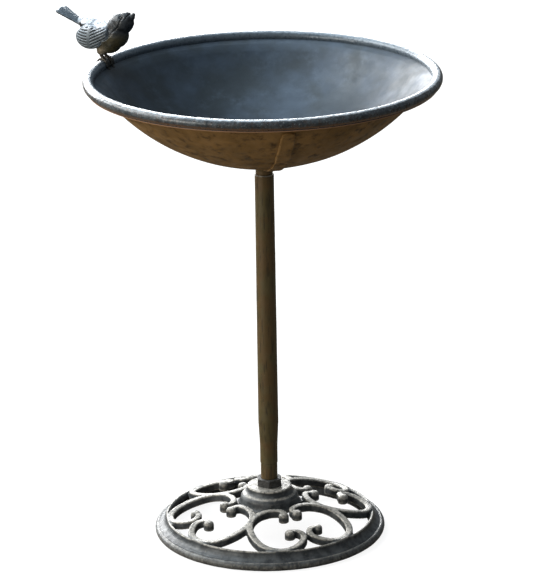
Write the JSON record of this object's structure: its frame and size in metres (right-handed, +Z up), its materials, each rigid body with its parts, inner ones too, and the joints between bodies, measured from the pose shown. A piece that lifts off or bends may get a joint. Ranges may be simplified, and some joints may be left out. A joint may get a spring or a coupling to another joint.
{
  "type": "bird bath",
  "caption": "Free-standing bird bath: shallow round metal bowl with a songbird on its rim, on a slim pole over a pierced scrollwork base.",
  "frame": {"origin": "on the ground, in the middle of the base, on the pole's axis", "axes": "+Z up along the pole; -Y faces the viewer in front, with the bird on the rim to the rear left (-X, +Y); +X to the right"},
  "size_m": [0.3869, 0.356, 0.5363],
  "materials": {
    "cast_iron_dark": "dark blue-grey painted casting with pale rubbed edges, semi-gloss",
    "pole_bronze": "dark brown-olive patina paint, satin",
    "bowl_bronze": "mottled brown rust patina outside, dark blue-grey worn inside",
    "rim_dark": "dark blue-grey speckled paint",
    "bird_dark": "dark grey painted casting with rubbed feather ridges",
    "dull_steel": "dull plated steel",
    "zinc": "dull zinc plate"
  },
  "bodies": {
    "stand": {"base_casting": "cast_iron_dark", "foot_washer": "zinc", "foot_spring_washer": "zinc", "foot_nut": "zinc", "locknut": "cast_iron_dark", "pole_foot": "pole_bronze", "pole_tube": "pole_bronze"},
    "seat": {"seat_washer": "dull_steel"},
    "bowl": {"bowl_shell": "bowl_bronze", "rim_ring": "rim_dark", "bowl_strap": "bowl_bronze", "bowl_stud": "zinc", "bowl_spigot": "pole_bronze", "bird_casting": "bird_dark", "bird_washers": "zinc", "bird_nuts": "zinc"}
  },
  "joints": [
    {"name": "bowl_lift", "type": "slide", "parent": "stand", "child": "seat", "axis": [0, 0, 1], "range_m": [0, 0.06]},
    {"name": "bowl_turn", "type": "hinge", "parent": "seat", "child": "bowl", "pos_m": [0, 0, 0.3807], "axis": [0, 0, 1], "continuous": true}
  ]
}
